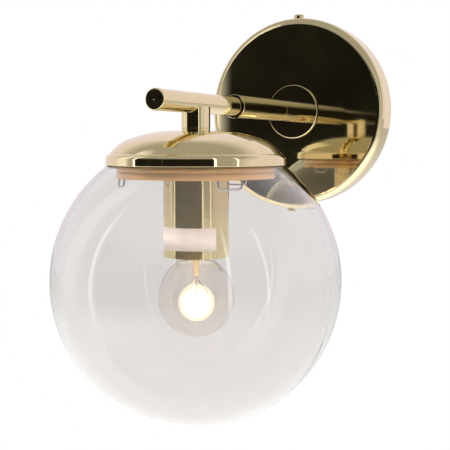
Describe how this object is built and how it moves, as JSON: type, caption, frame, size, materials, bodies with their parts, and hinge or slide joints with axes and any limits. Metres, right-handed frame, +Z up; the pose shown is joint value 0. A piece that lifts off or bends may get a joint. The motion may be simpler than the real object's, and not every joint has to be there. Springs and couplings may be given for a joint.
{
  "type": "globe wall sconce",
  "caption": "Polished brass wall light with a round wall cover, straight arm, dished shade cap, clear glass globe and clear golf ball bulb.",
  "frame": {"origin": "On the wall, in the middle of the wall bracket and of its two screw slots; the arm's axis passes through it.", "axes": "+Z up, -Y away from the wall along the arm, +Y into the wall, +X to the right of someone who faces the wall."},
  "size_m": [0.18, 0.2626, 0.2745],
  "materials": {
    "polished_brass": "mirror-polished pale gold plating",
    "satin_brass": "satin brass, drawn sheet",
    "zinc_plated_steel": "bright zinc plating",
    "brass_hardware": "plain turned brass",
    "spring_steel": "bright spring wire",
    "block_plastic": "moulded polyamide",
    "holder_plastic": "moulded black heat-resistant plastic",
    "live_insulation": "brown insulation",
    "neutral_insulation": "blue insulation",
    "earth_insulation": "green and yellow insulation",
    "globe_glass": "clear blown glass",
    "bulb_glass": "clear thin glass",
    "nickel_base": "rolled nickel-plated shell",
    "black_insulator": "black glass",
    "solder": "solder",
    "lead_wire": "thin lead wire",
    "lit_filament": "glowing tungsten coil"
  },
  "bodies": {
    "wall_lamp": {"backplate_cover": "polished_brass", "arm_flange": "polished_brass", "arm_sleeve": "polished_brass", "arm_tube": "polished_brass", "arm_end_plug": "polished_brass", "stem_saddle": "polished_brass", "shade_cap": "polished_brass", "gallery_pan": "satin_brass", "holder_cup": "satin_brass", "wall_bracket": "zinc_plated_steel", "arm_nipple": "zinc_plated_steel", "arm_washer": "zinc_plated_steel", "arm_nut": "zinc_plated_steel", "stem_nipple": "zinc_plated_steel", "cap_washer": "zinc_plated_steel", "cap_nut": "zinc_plated_steel", "cup_nut": "zinc_plated_steel", "earth_screw": "brass_hardware", "earth_lug": "brass_hardware", "terminal_screws": "brass_hardware", "lampholder_terminals": "brass_hardware", "lampholder_contact": "brass_hardware", "lampholder_shell": "brass_hardware", "spring_clips": "spring_steel", "terminal_block": "block_plastic", "lampholder_cap": "holder_plastic", "lampholder_body": "holder_plastic", "live_wire": "live_insulation", "neutral_wire": "neutral_insulation", "earth_wire": "earth_insulation"},
    "globe": {"globe_glass": "globe_glass"},
    "bulb": {"bulb_glass": "bulb_glass", "bulb_base": "nickel_base", "bulb_insulator": "black_insulator", "bulb_contact": "solder", "bulb_mount": "bulb_glass", "bulb_leads": "lead_wire", "bulb_filament": "lit_filament"},
    "top_screw": {"fixing_screw_top": "polished_brass"},
    "bottom_screw": {"fixing_screw_bottom": "polished_brass"}
  },
  "joints": [
    {"name": "globe_off", "type": "slide", "parent": "wall_lamp", "child": "globe", "axis": [0, 0, -1], "range_m": [0, 0.15]},
    {"name": "bulb_out", "type": "slide", "parent": "wall_lamp", "child": "bulb", "axis": [0, 0, -1], "range_m": [0, 0.032]},
    {"name": "top_screw_out", "type": "slide", "parent": "wall_lamp", "child": "top_screw", "axis": [0, 0, 1], "range_m": [0, 0.008]},
    {"name": "bottom_screw_out", "type": "slide", "parent": "wall_lamp", "child": "bottom_screw", "axis": [0, 0, -1], "range_m": [0, 0.008]}
  ]
}
